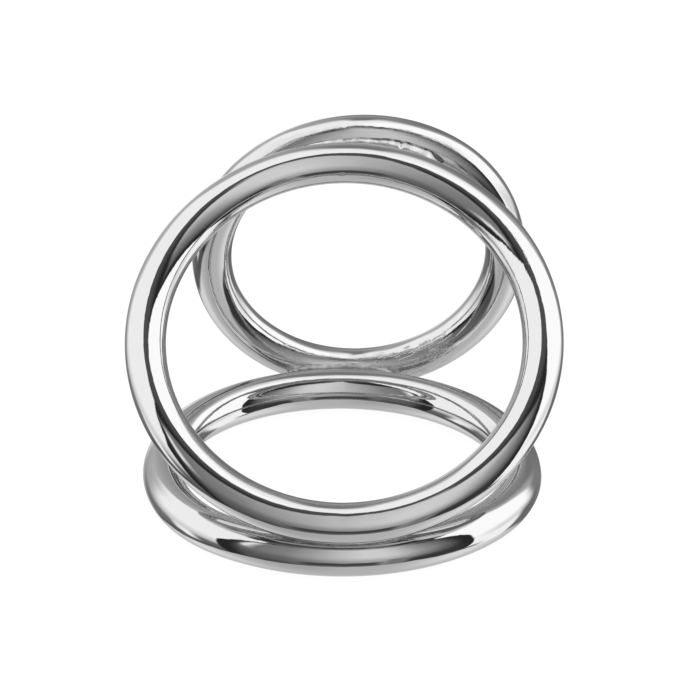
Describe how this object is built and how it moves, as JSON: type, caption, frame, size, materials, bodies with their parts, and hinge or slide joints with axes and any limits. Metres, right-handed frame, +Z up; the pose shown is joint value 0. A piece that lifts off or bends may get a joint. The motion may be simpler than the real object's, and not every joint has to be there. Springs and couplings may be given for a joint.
{
  "type": "triple ring frame",
  "caption": "Free-standing frame of polished steel rings of different bores, welded rim to rim so that their planes form a triangle.",
  "frame": {"origin": "centre of the footprint, at the level of the surface it stands on", "axes": "+Z up; -Y towards the low weld of the leaning front ring; +X to the right seen from the front, along the line that the ring planes share"},
  "size_m": [0.0634, 0.0664, 0.0494],
  "materials": {
    "polished_steel": "mirror-polished stainless steel, unplated",
    "weld_metal": "ground and brushed stainless steel weld metal"
  },
  "bodies": {
    "root": {"front_ring": "polished_steel", "bottom_ring": "polished_steel", "back_ring": "polished_steel", "near_weld_inner": "weld_metal", "near_weld_outer": "weld_metal", "far_weld_inner": "weld_metal", "far_weld_outer": "weld_metal", "top_weld_inner": "weld_metal", "top_weld_outer": "weld_metal"}
  },
  "joints": []
}
